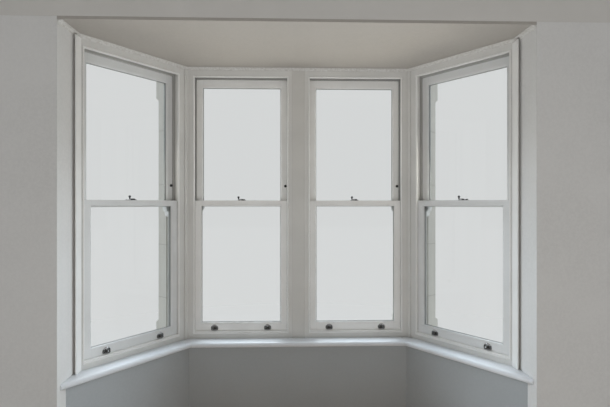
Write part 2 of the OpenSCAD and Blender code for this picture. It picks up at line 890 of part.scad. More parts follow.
module floor_plan(z0, z1) {
    edge = [mitre_pt(-apron_in), side_pt(s_at_x(jamb_x, -apron_in), -apron_in), [jamb_x, room_y]];
    prism(concat(edge, flipped(edge)), z0, z1);
}

module floor_slab() {
    color("silver") placed() floor_plan(0, floor_h - boards_t);
}

module floor_boards() {
    color("tan") placed() floor_plan(floor_h - boards_t, floor_h);
}

// Three slopes that meet in hips over the mitres and stop against the house wall
// Everything under one slope, drawn as [outward, height] and run far along its face
module under_slope(edge, drop) {
    translate([-far, 0, 0]) rotate([90, 0, 90]) linear_extrude(2 * far) polygon([
        [edge, 0], [edge, roof_z(edge) - drop], [-far, roof_z(-far) - drop], [-far, 0]
    ]);
}

module under_side_slope(side, edge, drop) {
    both_sides(side) translate([corner_x, 0, 0]) rotate([0, 0, -side_angle]) under_slope(edge, drop);
}

module under_roof(edge, drop) {
    intersection() {
        under_slope(edge, drop);
        under_side_slope(-1, edge, drop);
        under_side_slope(1, edge, drop);
        prism([[-far, house_out], [far, house_out], [far, far], [-far, far]], 0, far);
    }
}

module roof() {
    color("slategray") placed() difference() {
        intersection() {
            under_roof(roof_edge, 0);
            prism([[-far, -far], [far, -far], [far, far], [-far, far]], eaves_z, far);
        }
        under_roof(roof_edge + 1, roof_drop);
    }
}

// Lead: a roll down each hip and a flashing turned up the wall over the slates
module hip_roll() {
    flashing_face = house_out + flashing_t + lead_gap;
    foot = mitre_pt(roof_edge - hip_r);
    top = mitre_pt(house_out);
    span = norm(top - foot);
    rise = roof_z(house_out) - roof_z(roof_edge - hip_r);
    turn = atan2(top[1] - foot[1], top[0] - foot[0]);
    difference() {
        translate([foot[0], foot[1], roof_z(roof_edge - hip_r)]) rotate([0, 0, turn])
            rotate([0, 90 - atan2(rise, span), 0]) cylinder(h = norm([span, rise]) + 4 * hip_r, r = hip_r);
        under_roof(roof_edge + 2 * hip_r, 0);
        prism([[-far, -far], [far, -far], [far, flashing_face], [-far, flashing_face]], 0, far);
    }
}

module roof_lead() {
    eave_x = side_pt(s_at_y(house_out, roof_edge), roof_edge)[0];
    color("dimgray") placed() {
        for (side = [-1, 1]) both_sides(side) hip_roll();
        flashing(eave_x);
    }
}

module flashing(eave_x) {
    top = mitre_pt(house_out)[0];
    line = [[eave_x, roof_z(roof_edge)], [top, roof_z(house_out)]];
    rotate([90, 0, 0]) translate([0, 0, -house_out - flashing_t]) linear_extrude(flashing_t) polygon(concat(
        [for (p = line) p], [for (p = backward(line)) [-p[0], p[1]]],
        [for (p = line) [-p[0], p[1] + flashing_h]], [for (p = backward(line)) [p[0], p[1] + flashing_h]]
    ));
}

wall_pier_left();
wall_pier_right();
header_wall();
apron_wall_front();
apron_wall_left();
apron_wall_right();
plinth();
stone_sill();
head_course();
cornice();
centre_pier();
corner_pier_left();
corner_pier_right();
end_pier_left();
end_pier_right();
box_frame_front_left();
box_frame_front_right();
box_frame_side_left();
box_frame_side_right();
lower_sash_front_left();
lower_sash_front_right();
lower_sash_side_left();
lower_sash_side_right();
upper_sash_front_left();
upper_sash_front_right();
upper_sash_side_left();
upper_sash_side_right();
window_glass();
staff_beads();
sash_lifts();
sash_fasteners();
sash_stops();
mullion_cover();
corner_covers();
end_posts();
window_board();
wall_plaster_left();
wall_plaster_right();
apron_plaster();
skirting();
ceiling();
floor_slab();
floor_boards();
roof();
roof_lead();
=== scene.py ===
import math
import random

import bmesh
import bpy
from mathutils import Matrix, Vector


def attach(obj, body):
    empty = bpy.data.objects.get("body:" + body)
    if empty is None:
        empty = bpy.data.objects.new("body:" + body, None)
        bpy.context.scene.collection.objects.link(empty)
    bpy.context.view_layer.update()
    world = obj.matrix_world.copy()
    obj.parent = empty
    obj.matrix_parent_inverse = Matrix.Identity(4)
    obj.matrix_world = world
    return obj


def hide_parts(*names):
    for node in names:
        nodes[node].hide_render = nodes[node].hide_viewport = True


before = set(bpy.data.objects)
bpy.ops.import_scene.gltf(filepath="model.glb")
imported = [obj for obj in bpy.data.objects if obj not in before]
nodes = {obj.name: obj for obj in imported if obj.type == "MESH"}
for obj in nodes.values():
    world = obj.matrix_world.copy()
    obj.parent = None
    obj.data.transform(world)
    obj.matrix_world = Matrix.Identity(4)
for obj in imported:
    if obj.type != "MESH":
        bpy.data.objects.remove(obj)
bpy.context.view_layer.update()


# The house wall beside and over the bay: brick in lime mortar, cut off at both ends and at the top.
# It is rendered and painted to the street, and plastered to the room over the opening.
# The bricks are laid first, then the render and the plaster are floated on.
class Socket:
    """One output in a material's node tree. Sums written with it add Math nodes."""

    def __init__(self, tree, out):
        self.tree = tree
        self.out = out

    def add(self, kind, settings=None, sockets=None, output=0):
        """Add a node of this kind, set it up, feed its sockets, and give back one of its outputs."""
        node = self.tree.nodes.new(kind)
        for name, value in (settings or {}).items():
            setattr(node, name, value)
        for name, value in (sockets or {}).items():
            if isinstance(value, Socket):
                self.tree.links.new(value.out, node.inputs[name])
            elif isinstance(value, tuple) and len(value) == 3 and len(node.inputs[name].default_value) == 4:
                node.inputs[name].default_value = (*value, 1)
            else:
                node.inputs[name].default_value = value
        return Socket(self.tree, node.outputs[output]) if len(node.outputs) else None

    def math(self, operation, *values):
        return self.add("ShaderNodeMath", {"operation": operation}, dict(enumerate(values)))

    def __add__(self, other):
        return self.math("ADD", self, other)

    __radd__ = __add__

    def __sub__(self, other):
        return self.math("SUBTRACT", self, other)

    def __rsub__(self, other):
        return self.math("SUBTRACT", other, self)

    def __mul__(self, other):
        return self.math("MULTIPLY", self, other)

    __rmul__ = __mul__

    def __truediv__(self, other):
        return self.math("DIVIDE", self, other)

    def __floordiv__(self, other):
        return self.math("FLOOR", self / other)

    def __mod__(self, other):
        return self.math("MODULO", self, other)

    def __gt__(self, other):
        return self.math("GREATER_THAN", self, other)

    def __lt__(self, other):
        return self.math("LESS_THAN", self, other)

    def __abs__(self):
        return self.math("ABSOLUTE", self)

    def highest(self, other):
        return self.math("MAXIMUM", self, other)

    def fade(self, low, high):
        """0 below low, 1 above high, and smooth between them."""
        return self.add("ShaderNodeMapRange", {"interpolation_type": "SMOOTHSTEP"},
                        {"Value": self, "From Min": low, "From Max": high})

    def axis(self, name):
        return self.add("ShaderNodeSeparateXYZ", None, {"Vector": self}, output=name)

    def noise(self, scale, detail=2.0, roughness=0.5):
        return self.add("ShaderNodeTexNoise", None,
                        {"Vector": self, "Scale": scale, "Detail": detail, "Roughness": roughness})

    def stretch(self, x, y, z):
        return self.add("ShaderNodeVectorMath", {"operation": "MULTIPLY"}, {0: self, 1: (x, y, z)})

    def mix(self, first, second):
        """The first colour where this is 0 and the second where it is 1."""
        return self.add("ShaderNodeMix", {"data_type": "RGBA"}, {0: self, 6: first, 7: second}, output=2)

    def tight(self, reach, low, high):
        """1 in narrow gaps and sharp corners, where dirt gathers and shade falls, and 0 on open faces."""
        open_to = self.add("ShaderNodeAmbientOcclusion", {"samples": 6}, {"Distance": reach}, output="AO")
        return 1 - open_to.fade(low, high)


def new_material(name):
    """An empty material, and where each point of the piece lies."""
    material = bpy.data.materials.new(name)
    material.use_nodes = True
    material.node_tree.nodes.clear()
    return material, Socket(material.node_tree, None).add("ShaderNodeTexCoord", output="Object")


def coat(place, colour, roughness, height=None, depth=0.001, arris=0.0, **fixed):
    """Close a material with its colour, its gloss, its relief and the roundness of its arrises."""
    sockets = {"Base Color": colour, "Roughness": roughness}
    sockets.update({name.replace("_", " "): value for name, value in fixed.items()})
    relief = {}
    if arris:
        relief["Normal"] = place.add("ShaderNodeBevel", {"samples": 4}, {"Radius": arris})
        sockets["Normal"] = relief["Normal"]
    if height is not None:
        relief.update({"Height": height, "Distance": depth, "Strength": 1.0})
        sockets["Normal"] = place.add("ShaderNodeBump", None, relief)
    shader = place.add("ShaderNodeBsdfPrincipled", None, sockets)
    place.add("ShaderNodeOutputMaterial", None, {"Surface": shader})


def dress(material, *names):
    """Give a CAD node its finish."""
    for name in names:
        mesh = nodes[name].data
        for i in range(len(mesh.materials)):
            mesh.materials[i] = material


def bricks(place, face):
    """Colour and relief of bare brickwork drawn on a plane: 215 by 65 mm bricks in 10 mm joints."""
    sizes = {"Vector": face, "Scale": 1.0, "Brick Width": 0.225, "Row Height": 0.075, "Mortar Size": 0.005,
             "Mortar Smooth": 0.3, "Bias": 0.0, "Color1": (0.36, 0.13, 0.075), "Color2": (0.25, 0.085, 0.05),
             "Mortar": (0.42, 0.38, 0.31)}
    wall = place.add("ShaderNodeTexBrick", None, sizes)
    joint = place.add("ShaderNodeTexBrick", None, sizes, output="Fac")
    fired = place.noise(9, 4).mix((0.55, 0.55, 0.55), (1.3, 1.3, 1.3))
    wall = place.add("ShaderNodeMix", {"data_type": "RGBA", "blend_type": "MULTIPLY"},
                     {0: 1.0, 6: wall, 7: fired}, output=2)
    return wall, (1 - joint) + place.noise(160, 3) * 0.35


cut_end = 1.6994
cut_top = 3.6905


def house_wall(name, plaster_from=None):
    """Rendered brick, bare where the wall is cut off, and plastered on the room's side of plaster_from."""
    material, place = new_material(name)
    x, y, z = place.axis("X"), place.axis("Y"), place.axis("Z")
    end = abs(x) > cut_end
    top = z > cut_top
    flat = place.add("ShaderNodeCombineXYZ", None, {"X": x, "Y": y})
    upright = place.add("ShaderNodeCombineXYZ", None, {"X": y, "Y": z})
    face = place.add("ShaderNodeMix", {"data_type": "VECTOR"}, {0: top, 4: upright, 5: flat}, output=1)
    wall, wall_relief = bricks(place, face)
    stain = place.stretch(3, 3, 0.8).noise(1.6, 4)
    skin = stain.fade(0.3, 0.75).mix((0.60, 0.575, 0.52), (0.52, 0.49, 0.435))
    relief = place.noise(220, 4, 0.65) * 0.8 + place.noise(18, 2) * 0.5
    if plaster_from is not None:
        inside = y < plaster_from
        skin = inside.mix(skin, place.noise(3, 3).mix((0.62, 0.60, 0.57), (0.665, 0.645, 0.615)))
        relief = relief + inside * (place.noise(330, 2) * 0.3 - relief)
    bare = end.highest(top)
    relief = relief + bare * (wall_relief * 2 - relief)
    coat(place, bare.mix(skin, wall), 0.9, relief, 0.002, Specular_IOR_Level=0.3)
    return material


dress(house_wall("header_brick", plaster_from=-0.575), "header_wall")
dress(house_wall("pier_brick"), "wall_pier_left", "wall_pier_right")


# The low wall, its plinth, the stone sill, the piers and the head of the bay.
# Sandstone blocks under many coats of off-white masonry paint, with thin joints between the blocks.
# The blocks are sawn and moulded, bedded in mortar, and painted in place.
joint_half = 0.0022
first_bed = 0.255
stagger = 0.23


def painted_stone(name, joint_at, tone=(0.575, 0.56, 0.52), soiled=0.0, course=0.0):
    """Painted blocks. joint_at gives upright joints by their distance from the middle, and beds as minus
    their height. Blocks of a course's height are staggered, and damp has soiled them up to a height."""
    material, place = new_material(name)
    x, z = place.axis("X"), place.axis("Z")
    streaks = place.stretch(7, 7, 0.35).noise(2.2, 4)
    shade = tuple(0.80 * part for part in tone)
    colour = streaks.fade(0.42, 0.8).mix(tone, shade)
    colour = (place.noise(60, 3) * 0.5).mix(colour, tuple(1.06 * part for part in tone))
    if soiled:
        damp = (1 - z.fade(0.02, soiled)) * place.noise(6, 4).fade(0.3, 0.7)
        colour = damp.mix(colour, (0.30, 0.30, 0.22))
    across = abs(x)
    if course:
        across = across - abs((z - first_bed) // course % 2.0) * stagger
    first, *others = [abs(across - spot) if spot >= 0 else abs(z + spot) for spot in joint_at]
    joints = first < joint_half
    for distance in others:
        joints = joints.highest(distance < joint_half)
    colour = (joints * 0.45).mix(colour, (0.24, 0.23, 0.20))
    grain = place.noise(260, 4, 0.7) * 0.6 + place.noise(24, 3) * 0.6 - joints * 1.2
    coat(place, colour, 0.72, grain, 0.0016, 0.003, Specular_IOR_Level=0.35)
    return material


dress(painted_stone("plinth_stone", (0.0, 0.46), soiled=0.35), "plinth")
dress(painted_stone("apron_stone", (0.0, 0.46, -0.255, -0.405, -0.555), soiled=0.2, course=0.15),
      "apron_wall_front", "apron_wall_left", "apron_wall_right")
dress(painted_stone("sill_stone", (0.0,), (0.53, 0.515, 0.475)), "stone_sill")
dress(painted_stone("pier_stone", (-1.12, -1.50, -1.93, -2.32)),
      "centre_pier", "corner_pier_left", "corner_pier_right", "end_pier_left", "end_pier_right")
dress(painted_stone("head_stone", (0.0, 0.62)), "head_course")
dress(painted_stone("cornice_stone", (0.0, 0.55)), "cornice")


# The box frames, the sashes and every bead and lining round them.
# Softwood under many coats of white satin paint, brushed along the grain.
# The frames are tongued and glued, the beads bradded on, and the arrises thick with paint.
sight_half = 0.280
sash_rails = {"lower": ((0.860, 0.943), (1.773, 1.816)), "upper": ((1.773, 1.816), (2.636, 2.710))}
# Half the width and the height at which a sash, or its track, goes behind the beads.
sash_sight = (0.3290, 2.6968)
track_sight = (0.3292, 2.6972)
stile_back = 0.356
# Depths, outwards from the lower sash.
ovolo_depth = {"lower": 0.0095, "upper": 0.0625}
bead_depth = (0.037, 0.0525)
track_depth = (0.0525, 0.0985)
cill_fade = (0.884, 0.902)


def between(value, low, high):
    """1 where a value lies between two limits."""
    return (value > low) * (value < high)


def white_paint(name, tone, gloss, along="Z", centre=None, turn=0.0, sash=None, shade_and_grime=0.85):
    """Brushed satin paint, darkened by dirt and painted shade in its corners, by painted shade lines at the
    edges of a sash, and by painted shade and grime in the runs of a frame.
    A frame or a sash gives its window's centre and turn, and a sash also says which one it is."""
    material, place = new_material(name)
    z = place.axis("Z")
    strokes = (place.stretch(1, 1, 0.03) if along == "Z" else place.stretch(0.05, 0.35, 1)).noise(420, 2)
    mottle = place.noise(5, 4).fade(0.25, 0.8)
    colour = mottle.mix(tone, tuple(0.93 * part for part in tone))
    colour = (place.noise(90, 3).fade(0.62, 0.78) * 0.25).mix(colour, tuple(0.85 * part for part in tone))
    # Dirt and painted shade, darker where nearby faces close a point in.
    shade_and_dirt = place.tight(0.022, 0.12, 0.62) * shade_and_grime
    if centre:
        local = place.add("ShaderNodeMapping", {"vector_type": "TEXTURE"},
                          {"Vector": place, "Location": centre, "Rotation": (0, 0, turn)})
        u, out = abs(local.axis("X")), local.axis("Y")
    if sash:
        level = place.stretch(0.05, 0.05, 1).noise(420, 2)
        seams = []
        for low, high in sash_rails[sash]:
            rail = between(z, low, high)
            strokes = strokes + rail * (u < sight_half) * (level - strokes)
            seams.append(rail * (abs(u - sight_half) < 0.0006))
        seam = seams[0].highest(seams[1])
        (_, foot), (head, _) = sash_rails[sash]
        # A painted shade line round the edge of the glass; on a side sash only on faces further out than its
        # ovolo.
        rim = (u - sight_half).highest(abs(z - (foot + head) / 2) - (head - foot) / 2) < 0.0032
        if turn:
            rim = rim * (out > ovolo_depth[sash])
        # Painted shade lines, with some dirt, where a sash goes behind its beads and round its glass.
        edge_shade_and_dirt = (u > sash_sight[0]).highest(z > sash_sight[1]).highest(rim)
        shade_and_dirt = shade_and_dirt.highest(edge_shade_and_dirt * 0.62)
    elif centre:
        # Painted shade and grime in the frame's runs: in front of the parting bead at the sides and head, and
        # outside it at the sides.
        run = between(out, *bead_depth) * (u > track_sight[0]).highest(z > track_sight[1])
        outer_run = between(out, *track_depth) * (u > track_sight[0])
        shade_and_dirt = (shade_and_dirt * (u < stile_back)).highest(run * (0.42 if turn else 0.60)).highest(outer_run * 0.78)
    # The dirt and painted shade darken the paint, but not below the height of the cill.
    colour = (shade_and_dirt * z.fade(*cill_fade)).mix(colour, (0.10, 0.098, 0.09))
    relief = strokes * 0.5 + place.noise(150, 2) * 0.6 + place.noise(14, 2) * 0.8
    if sash:
        colour = (seam * 0.35).mix(colour, tuple(0.6 * part for part in tone))
        relief = relief - seam * 1.5
    coat(place, colour, gloss + place.noise(30, 2) * 0.12, relief, 0.00035, 0.0016, Specular_IOR_Level=0.5)
    return material


# One white paint takes a different tone on each kind of piece: the lighter tones are painted light and the
# darker ones painted shade, by how brightly each piece is lit.
dress(white_paint("bead_paint", (0.82, 0.81, 0.79), 0.28), "staff_beads")
dress(white_paint("corner_paint", (0.69, 0.68, 0.655), 0.30), "corner_covers")
dress(white_paint("mullion_paint", (0.62, 0.605, 0.575), 0.30), "mullion_cover")
dress(white_paint("post_paint", (0.87, 0.86, 0.84), 0.29, shade_and_grime=0.1), "end_posts")
window_at = {
    "side_left": ((-1.0552, -0.0715, 0.0), math.radians(52)),
    "front_left": ((-0.412, 0.25, 0.0), 0.0),
    "front_right": ((0.412, 0.25, 0.0), 0.0),
    "side_right": ((1.0552, -0.0715, 0.0), math.radians(-52)),
}
# The side sashes are painted darker than the front ones, as painted shade.
frame_tone = (0.70, 0.69, 0.665)
front_sash_lit_tone = (0.84, 0.83, 0.81)
side_sash_shaded_tone = (0.755, 0.76, 0.755)
for window, (centre, turn) in window_at.items():
    paint = white_paint(f"frame_{window}_paint", frame_tone, 0.30, centre=centre, turn=turn)
    dress(paint, f"box_frame_{window}")
    for sash in sash_rails:
        paint = white_paint(f"{sash}_{window}_paint", side_sash_shaded_tone if turn else front_sash_lit_tone, 0.27,
                            centre=centre, turn=turn, sash=sash)
        dress(paint, f"{sash}_sash_{window}")


# The panes: eight sheets of clear drawn glass, four millimetres thick.
# Each is bedded in the sash's rebate and held by putty outside.
glass, place = new_material("clear_glass")
ripple = place.stretch(1, 1, 0.35).noise(5, 1)
wave = place.add("ShaderNodeBump", None, {"Height": ripple, "Distance": 0.0002, "Strength": 1.0})
mirror = place.add("ShaderNodeBsdfGlossy", None,
                   {"Color": (0.96, 0.98, 0.97), "Roughness": 0.0, "Normal": wave})
through = place.add("ShaderNodeBsdfTransparent", None, {"Color": (0.96, 0.972, 0.972)})
outer = 1 - place.add("ShaderNodeNewGeometry", output="Backfacing")
glance = place.add("ShaderNodeFresnel", None, {"IOR": 1.35}) * outer
pane = place.add("ShaderNodeMixShader", None, {0: glance, 1: through, 2: mirror})
place.add("ShaderNodeOutputMaterial", None, {"Surface": pane})
dress(glass, "window_glass")


# The putty: a sloping fillet of linseed oil and whiting round the outside of every pane.
# It is knifed into the rebate and mitred at the corners, and is dark grey, partly as weathered putty and
# partly as painted shade along the panes' edges.
def only(*pieces):
    """Select these pieces and nothing else, with the last one active."""
    bpy.ops.object.select_all(action="DESELECT")
    for piece in pieces:
        piece.select_set(True)
        bpy.context.view_layer.objects.active = piece


def settle():
    """Leave the active piece's place and size in its mesh."""
    bpy.ops.object.transform_apply(location=True, rotation=True, scale=True)
    return bpy.context.active_object


def pick(piece, kind, wanted):
    """In edit mode, select the faces or edges whose middle and normal pass a test."""
    bpy.ops.mesh.select_mode(type="FACE" if kind == "faces" else "EDGE")
    bpy.ops.mesh.select_all(action="DESELECT")
    shape = bmesh.from_edit_mesh(piece.data)
    shape.normal_update()
    for part in getattr(shape, kind):
        middle = sum((corner.co for corner in part.verts), Vector()) / len(part.verts)
        way = part.normal if kind == "faces" else (part.verts[1].co - part.verts[0].co).normalized()
        if wanted(middle, way):
            part.select_set(True)
    bmesh.update_edit_mesh(piece.data)


def close_up():
    """Merge what meets, turn every face outwards, and go back to object mode."""
    bpy.ops.mesh.select_all(action="SELECT")
    bpy.ops.mesh.remove_doubles(threshold=0.00002)
    bpy.ops.mesh.normals_make_consistent(inside=False)
    bpy.ops.object.mode_set(mode="OBJECT")


def copy_of(piece):
    twin = piece.copy()
    twin.data = piece.data.copy()
    bpy.context.scene.collection.objects.link(twin)
    return twin


def at_window(piece, window, shift):
    """Set a piece at its place on a window, shifted across it, outward and up."""
    centre, turn = window_at[window]
    piece.rotation_euler = (0, 0, turn)
    across = Vector((math.cos(turn), math.sin(turn), 0))
    out = Vector((-math.sin(turn), math.cos(turn), 0))
    piece.location = Vector(centre) + across * shift[0] + out * shift[1] + Vector((0, 0, shift[2]))


def hand_over(piece, name, material, slot, *replaced):
    """Name a finished piece, give it its material, hang it from the root and hide the CAD nodes that it
    replaces.
    """
    only(piece)
    settle()
    piece.name = piece.data.name = name
    piece.data.materials.clear()
    piece.data.materials.append(material)
    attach(piece, "root")
    if replaced:
        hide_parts(*replaced)


# The putty's dark grey is partly its weathered colour and partly painted shade at the edges of the panes.
putty_paint = white_paint("putty_paint", (0.22, 0.22, 0.21), 0.62)
putty_bite = 0.0088
putty_deep = 0.0252
glass_face = {"lower": 0.0186, "upper": 0.0716}
for sash, ((_, foot), (head, _)) in sash_rails.items():
    tall = head - foot
    only()
    bpy.ops.mesh.primitive_plane_add(size=1, location=(0, 0, 0), rotation=(math.radians(90), 0, 0))
    fillet = bpy.context.active_object
    fillet.scale = (2 * (sight_half + putty_bite), tall + 2 * putty_bite, 1)
    settle()
    bpy.ops.object.mode_set(mode="EDIT")
    bpy.ops.mesh.inset(thickness=putty_bite)
    bpy.ops.mesh.delete(type="FACE")
    pick(fillet, "edges", lambda m, way: abs(m.x) > sight_half + 0.008 or abs(m.z) > tall / 2 + 0.008)
    bpy.ops.mesh.extrude_region_move(TRANSFORM_OT_translate={"value": (0, putty_deep, 0)})
    pick(fillet, "edges", lambda m, way: abs(way.y) < 0.5 and (
        m.y > putty_deep - 0.001
        or m.y < 0.001 and abs(m.x) < sight_half + 0.001 and abs(m.z) < tall / 2 + 0.001))
    bpy.ops.mesh.bridge_edge_loops()
    close_up()
    for window in window_at:
        piece = copy_of(fillet)
        at_window(piece, window, (0, glass_face[sash], (foot + head) / 2))
        hand_over(piece, f"putty_{sash}_{window}", putty_paint, "white_sashes")
    bpy.data.objects.remove(fillet)


# The window board: one wide softwood shelf with a bullnose, mitred at the bay's corners.
# It is painted like the frames, tongued into their cills, and fixed down to the low wall.
# Its paint is tinted blue, as painted light from the sky.
dress(white_paint("board_paint", (0.75, 0.77, 0.80), 0.24, "X"), "window_board")


# The room's plaster: the reveals, the piers' room faces, the low wall and the ceiling.
# Set plaster under rolled matt emulsion, with a faint stipple and soft shadows of old filling.
cove_fade = (2.7605, 2.7638)


def emulsion(name, tone, cove_lit_tone=None):
    """Rolled matt paint in soft patches. A ceiling also gives a lighter tone for the cove round it, painted
    light there.
    """
    material, place = new_material(name)
    patch = place.noise(2.2, 4).fade(0.3, 0.75)
    colour = patch.mix(tone, tuple(0.935 * part for part in tone))
    if cove_lit_tone:
        colour = place.axis("Z").fade(*cove_fade).mix(cove_lit_tone, colour)
    speckle = place.noise(70, 4, 0.7).fade(0.35, 0.65) * 0.5
    colour = speckle.mix(colour, tuple(1.05 * part for part in tone))
    stipple = place.noise(420, 3, 0.6) * 0.6 + place.noise(9, 3) * 1.2
    coat(place, colour, 0.82, stipple, 0.0006, 0.003, Specular_IOR_Level=0.25)
    return material


# One emulsion: darker and bluer on the low wall as painted shade under the board, darker and warmer on the
# ceiling as painted shade, and lighter on the cove as painted light.
dress(emulsion("wall_emulsion", (0.70, 0.69, 0.675)), "wall_plaster_left", "wall_plaster_right")
dress(emulsion("apron_emulsion", (0.402, 0.424, 0.438)), "apron_plaster")
dress(emulsion("ceiling_emulsion", (0.42, 0.392, 0.358), (0.69, 0.68, 0.66)), "ceiling")


# The skirting: a softwood board with a splayed top, mitred at the bay's corners.
# It is painted with the rest of the joinery and nailed to the plaster.
dress(white_paint("skirting_paint", (0.67, 0.67, 0.66), 0.3, "X"), "skirting")


# The slab under the floor: concrete, cast between the low walls and trowelled level.
# A little sand and stone show in its face.
slab, place = new_material("slab_concrete")
cloud = place.noise(4, 5).mix((0.36, 0.355, 0.34), (0.46, 0.45, 0.43))
cloud = (place.noise(90, 3).fade(0.58, 0.7) * 0.5).mix(cloud, (0.27, 0.265, 0.25))
coat(place, cloud, 0.85, place.noise(190, 4) + place.noise(20, 3), 0.0012, 0.004, Specular_IOR_Level=0.3)
dress(slab, "floor_slab")


# The floor: softwood boards, waxed, with the rings and the fibre of the timber along them.
# They are tongued and nailed down side by side, and cut to the splay of the bay.
def bare_boards(name):
    """Waxed pine. Each board is a little darker or lighter by its tone."""
    material, place = new_material(name)
    rings = place.add("ShaderNodeTexWave", {"bands_direction": "X", "wave_profile": "SIN"},
                      {"Vector": place.stretch(1, 0.18, 1), "Scale": 22.0, "Distortion": 7.0, "Detail": 3.0})
    fibre = place.stretch(1, 0.04, 1).noise(260, 3)
    board = place.add("ShaderNodeAttribute", {"attribute_name": "tone"}, output="Fac")
    colour = rings.mix((0.50, 0.31, 0.155), (0.36, 0.20, 0.09))
    colour = (board * 0.45).mix(colour, (0.30, 0.17, 0.08))
    colour = (fibre * 0.6).mix(colour, (0.58, 0.38, 0.20))
    coat(place, colour, 0.42 + fibre * 0.15, rings * 0.4 + fibre * 0.4, 0.0004, 0.001)
    return material


def mark(piece, name, value):
    """Write one number on every face of a piece, for its material to read."""
    layer = piece.data.attributes.new(name, "FLOAT", "FACE")
    layer.data.foreach_set("value", [value] * len(piece.data.polygons))


board_w = 0.1295
board_gap = 0.0008
board_l = 0.766
board_top = 0.180
board_t = 0.022
board_mid_y = -0.197
splay_at = (0.7728, 0.186)
splay_way = (0.78801, 0.61566)
boards = []
for i in range(20):
    x = (i - 9.5) * board_w
    only()
    bpy.ops.mesh.primitive_cube_add(size=1, location=(x, board_mid_y, board_top - board_t / 2))
    board = bpy.context.active_object
    board.scale = (board_w - board_gap, board_l, board_t)
    settle()
    bpy.ops.object.mode_set(mode="EDIT")
    for side in (-1, 1):
        bpy.ops.mesh.select_all(action="SELECT")
        bpy.ops.mesh.bisect(plane_co=(side * splay_at[0], splay_at[1], 0),
                            plane_no=(side * splay_way[0], splay_way[1], 0), clear_outer=True, use_fill=True)
    pick(board, "edges", lambda m, way: m.z > board_top - 0.001)
    bpy.ops.mesh.bevel(offset=0.0012, segments=2, affect="EDGES")
    close_up()
    mark(board, "tone", random.Random(i * 7 + 1).random())
    boards.append(board)
only(*boards)
bpy.ops.object.join()
pine = bare_boards("board_pine")
hand_over(bpy.context.active_object, "laid_boards", pine, "timber_boards", "floor_boards")


# The roof: three slopes of blue-grey slate on boards, and lead where they meet each other and the wall.
# The slates are nailed in courses with each course over the last, and cut along the hips. The lead is dressed
# over wooden rolls on the hips, and wedged into a joint of the wall.
slate, place = new_material("blue_slate")
riven = place.noise(34, 5, 0.62)
each = place.add("ShaderNodeAttribute", {"attribute_name": "tone"}, output="Fac")
colour = each.mix((0.095, 0.105, 0.125), (0.175, 0.185, 0.20))
colour = (place.noise(6, 3) * 0.5).mix(colour, (0.15, 0.145, 0.155))
colour = (place.noise(70, 4).fade(0.6, 0.72) * 0.45).mix(colour, (0.21, 0.215, 0.20))
coat(place, colour, 0.55 + riven * 0.2, riven, 0.0022, 0.0015)
dress(slate, "roof")
slate_w = 0.250
slate_l = 0.400
slate_t = 0.005
gauge = 0.160
overhang = 0.006
pitch = math.radians(30)
kick = math.radians(1.5)
eaves_out = 0.316
eaves_up = 3.0672
corner_x = 0.804
front_y = 0.25
hip_way = (0.8988, -0.4384)
wall_y = -0.2138
side_end_x = 1.9
only()
bpy.ops.mesh.primitive_cube_add(size=1, location=(0, -slate_l / 2, slate_t / 2))
one_slate = bpy.context.active_object
one_slate.scale = (slate_w - 0.003, slate_l, slate_t)
settle()
bpy.ops.object.mode_set(mode="EDIT")
pick(one_slate, "edges", lambda m, way: m.z > slate_t - 0.001 and (abs(m.x) > 0.1 or m.y > -0.01))
bpy.ops.mesh.bevel(offset=0.0018, segments=1, affect="EDGES")
close_up()
for slope, turn, corner in (("front", 0.0, 0.0), ("left", 52.0, -corner_x), ("right", -52.0, corner_x)):
    chance = random.Random(slope)
    laid = []
    for course in range(-1, 7):
        up = max(course, 0) * gauge - overhang
        lift, tilt = (0.0055, 0.0) if course < 0 else (0.0115, kick)
        odd = 0.5 if course % 2 else 0.0
        for i in range(-6, 7):
            one = copy_of(one_slate)
            one.rotation_euler = (tilt - pitch, 0, chance.uniform(-0.004, 0.004))
            one.location = ((i + odd) * slate_w + chance.uniform(-0.001, 0.001),
                            eaves_out - up * math.cos(pitch) + lift * math.sin(pitch),
                            eaves_up + up * math.sin(pitch) + (lift - slate_t) * math.cos(pitch))
            mark(one, "tone", chance.random())
            laid.append(one)
    only(*laid)
    settle()
    bpy.ops.object.join()
    field = bpy.context.active_object
    field.rotation_euler = (0, 0, math.radians(turn))
    field.location = (corner, front_y, 0)
    settle()
    bpy.ops.object.mode_set(mode="EDIT")
    if slope == "front":
        cuts = [((side * corner_x, front_y, 0), (side * hip_way[0], hip_way[1], 0)) for side in (-1, 1)]
    else:
        side = -1 if slope == "left" else 1
        cuts = [((side * corner_x, front_y, 0), (-side * hip_way[0], -hip_way[1], 0)),
                ((side * side_end_x, 0, 0), (side, 0, 0))]
    cuts.append(((0, wall_y, 0), (0, -1, 0)))
    for spot, way in cuts:
        bpy.ops.mesh.select_all(action="SELECT")
        bpy.ops.mesh.bisect(plane_co=spot, plane_no=way, clear_outer=True, use_fill=True)
    bpy.ops.object.mode_set(mode="OBJECT")
    hand_over(field, f"slates_{slope}", slate, "slate_roof")
bpy.data.objects.remove(one_slate)

lead, place = new_material("sheet_lead_patina")
bloom = place.noise(7, 4).fade(0.3, 0.75)
colour = bloom.mix((0.20, 0.205, 0.215), (0.33, 0.335, 0.34))
dents = place.noise(22, 3) + place.noise(110, 2) * 0.25
coat(place, colour, 0.48 + bloom * 0.2, dents, 0.002, 0.004, Metallic=0.35)
dress(lead, "roof_lead")


# The sash lifts: two on each lower sash, an arched plate with a round cup over the fingers.
# They are pressed from brass and chromed, and two slotted screws inside the cup hold each to the rail.
lift_off = 0.190
lift_foot = 0.8895
plate_half = 0.0255
plate_h = 0.0350
plate_t = 0.002
cup_r = 0.0245
cup_deep = 0.0163
cup_back = -0.0015
cup_wall = 0.0018
screw_off = 0.0095
screw_up = 0.0085
rail_face = 0.0005


